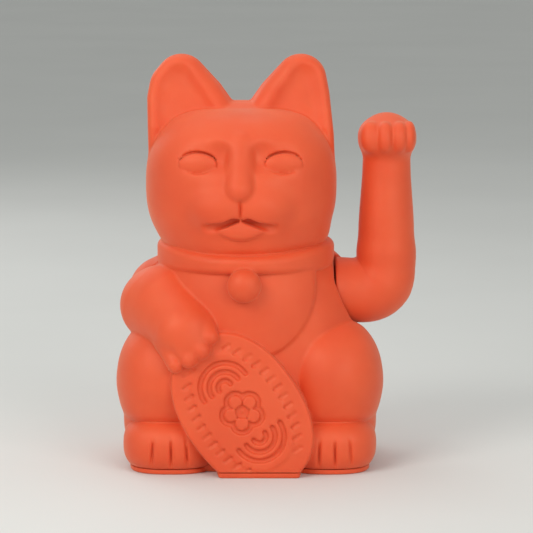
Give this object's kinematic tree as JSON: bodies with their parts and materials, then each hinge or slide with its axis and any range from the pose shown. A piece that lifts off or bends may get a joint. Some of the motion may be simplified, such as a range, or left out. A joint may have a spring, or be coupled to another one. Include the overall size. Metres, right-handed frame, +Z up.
{
  "type": "beckoning cat figurine",
  "caption": "Seated beckoning cat with a free-swinging raised arm on a steel axle, a coil-driven pendulum inside, an oval coin, and a sliding battery door.",
  "frame": {"origin": "on the flat underside of the base plate, in the middle of the footprint", "axes": "+Z up, -Y the way the cat faces, +X the side of the raised arm"},
  "size_m": [0.109, 0.0796, 0.1479],
  "materials": {
    "coral_plastic": "matte coral red, moulded through",
    "inner_plastic": "natural ivory moulding",
    "steel": "zinc-plated steel",
    "nickel": "nickel plate",
    "copper": "enamelled copper wire",
    "laminate": "green solder-masked laminate",
    "component_black": "moulded epoxy",
    "red_insulation": "satin insulation",
    "black_insulation": "satin insulation",
    "cell_sleeve": "satin printed sleeve, plain"
  },
  "bodies": {
    "housing": {"front_shell": "coral_plastic", "rear_shell": "coral_plastic", "base_plate": "coral_plastic", "base_screw_front_left": "steel", "base_screw_front_right": "steel", "base_screw_back_left": "steel", "base_screw_back_right": "steel", "bearing_tower": "inner_plastic", "tower_screw_front": "steel", "tower_screw_back": "steel", "coil_bobbin": "inner_plastic", "coil_winding": "copper", "circuit_board": "laminate", "board_screw_left": "steel", "board_screw_right": "steel", "capacitor": "component_black", "transistor": "component_black", "driver_chip": "component_black", "battery_cell": "cell_sleeve", "battery_spring": "nickel", "battery_contact": "nickel", "wire_battery_black": "black_insulation", "wire_battery_red": "red_insulation", "wire_coil_start": "copper", "wire_coil_end": "copper"},
    "waving_arm": {"arm_front_half": "coral_plastic", "arm_rear_half": "coral_plastic", "arm_hub": "inner_plastic", "axle": "steel", "axle_clip": "steel", "pendulum_lever": "inner_plastic", "counterweight": "steel", "drive_magnet": "nickel"},
    "door": {"battery_door": "coral_plastic"}
  },
  "joints": [
    {"name": "arm_wave", "type": "hinge", "parent": "housing", "child": "waving_arm", "pos_m": [0, 0, 0.0618], "axis": [1, 0, 0], "range_deg": [-22, 22]},
    {"name": "battery_door_slide", "type": "slide", "parent": "housing", "child": "door", "axis": [0, 1, 0], "range_m": [0, 0.06]}
  ]
}
